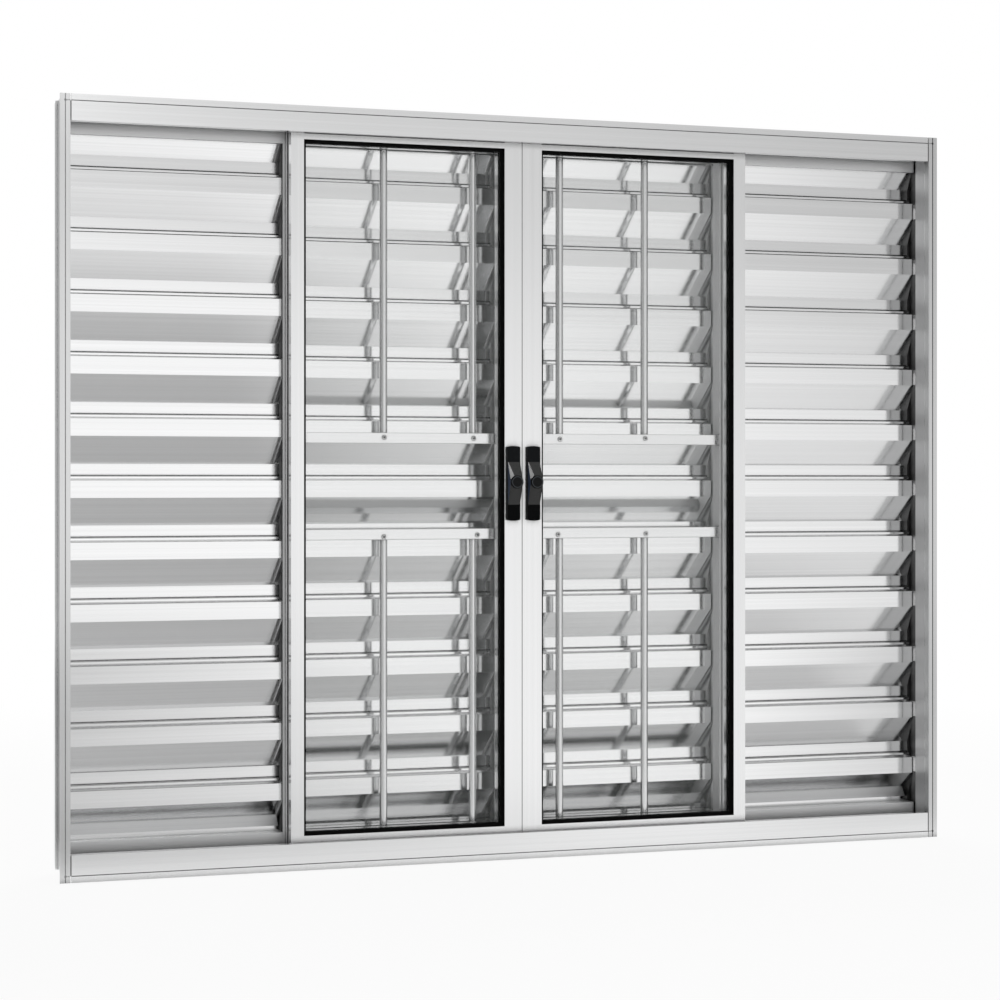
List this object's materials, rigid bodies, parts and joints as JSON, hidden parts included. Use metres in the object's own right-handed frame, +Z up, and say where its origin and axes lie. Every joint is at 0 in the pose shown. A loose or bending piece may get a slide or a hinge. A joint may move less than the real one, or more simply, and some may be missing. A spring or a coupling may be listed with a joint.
{
  "type": "louvred sliding window",
  "caption": "Aluminium sliding window with fixed and sliding louvre panels, clear glass sashes, a barred grille and black pull latches in a wall-lapping frame.",
  "frame": {"origin": "on the back face of the sill flange, midway along the width and in the middle of the strip that laps the wall", "axes": "+X to the right seen from the room, +Y from the room into the wall, +Z up"},
  "size_m": [1.5, 0.112, 1.2],
  "materials": {
    "frame": "satin anodised",
    "sashes": "satin anodised",
    "blades": "bright satin anodised with fine extrusion lines",
    "grille": "satin anodised",
    "glass": "clear",
    "gasket": "matt black",
    "latch": "semi-gloss black",
    "rollers": "natural nylon"
  },
  "bodies": {
    "root": {"head_rail": "frame", "leaf_rollers": "rollers", "left_fixed_blades": "blades", "left_fixed_rails": "frame", "left_gasket": "gasket", "left_glass": "glass", "left_jamb": "frame", "left_latch_base": "latch", "left_latch_lever": "latch", "left_leaf_blades": "blades", "left_leaf_bottom_rail": "frame", "left_leaf_meeting_stile": "frame", "left_leaf_outer_stile": "frame", "left_leaf_top_rail": "frame", "left_mullion": "frame", "left_sash_bottom_rail": "sashes", "left_sash_meeting_stile": "sashes", "left_sash_outer_stile": "sashes", "left_sash_top_rail": "sashes", "lower_flat_bar": "grille", "lower_round_bars": "grille", "right_fixed_blades": "blades", "right_fixed_rails": "frame", "right_gasket": "gasket", "right_glass": "glass", "right_jamb": "frame", "right_latch_base": "latch", "right_latch_lever": "latch", "right_leaf_blades": "blades", "right_leaf_bottom_rail": "frame", "right_leaf_meeting_stile": "frame", "right_leaf_outer_stile": "frame", "right_leaf_top_rail": "frame", "right_mullion": "frame", "right_sash_bottom_rail": "sashes", "right_sash_meeting_stile": "sashes", "right_sash_outer_stile": "sashes", "right_sash_top_rail": "sashes", "sash_rollers": "rollers", "sill_rail": "frame", "upper_flat_bar": "grille", "upper_round_bars": "grille"}
  },
  "joints": []
}
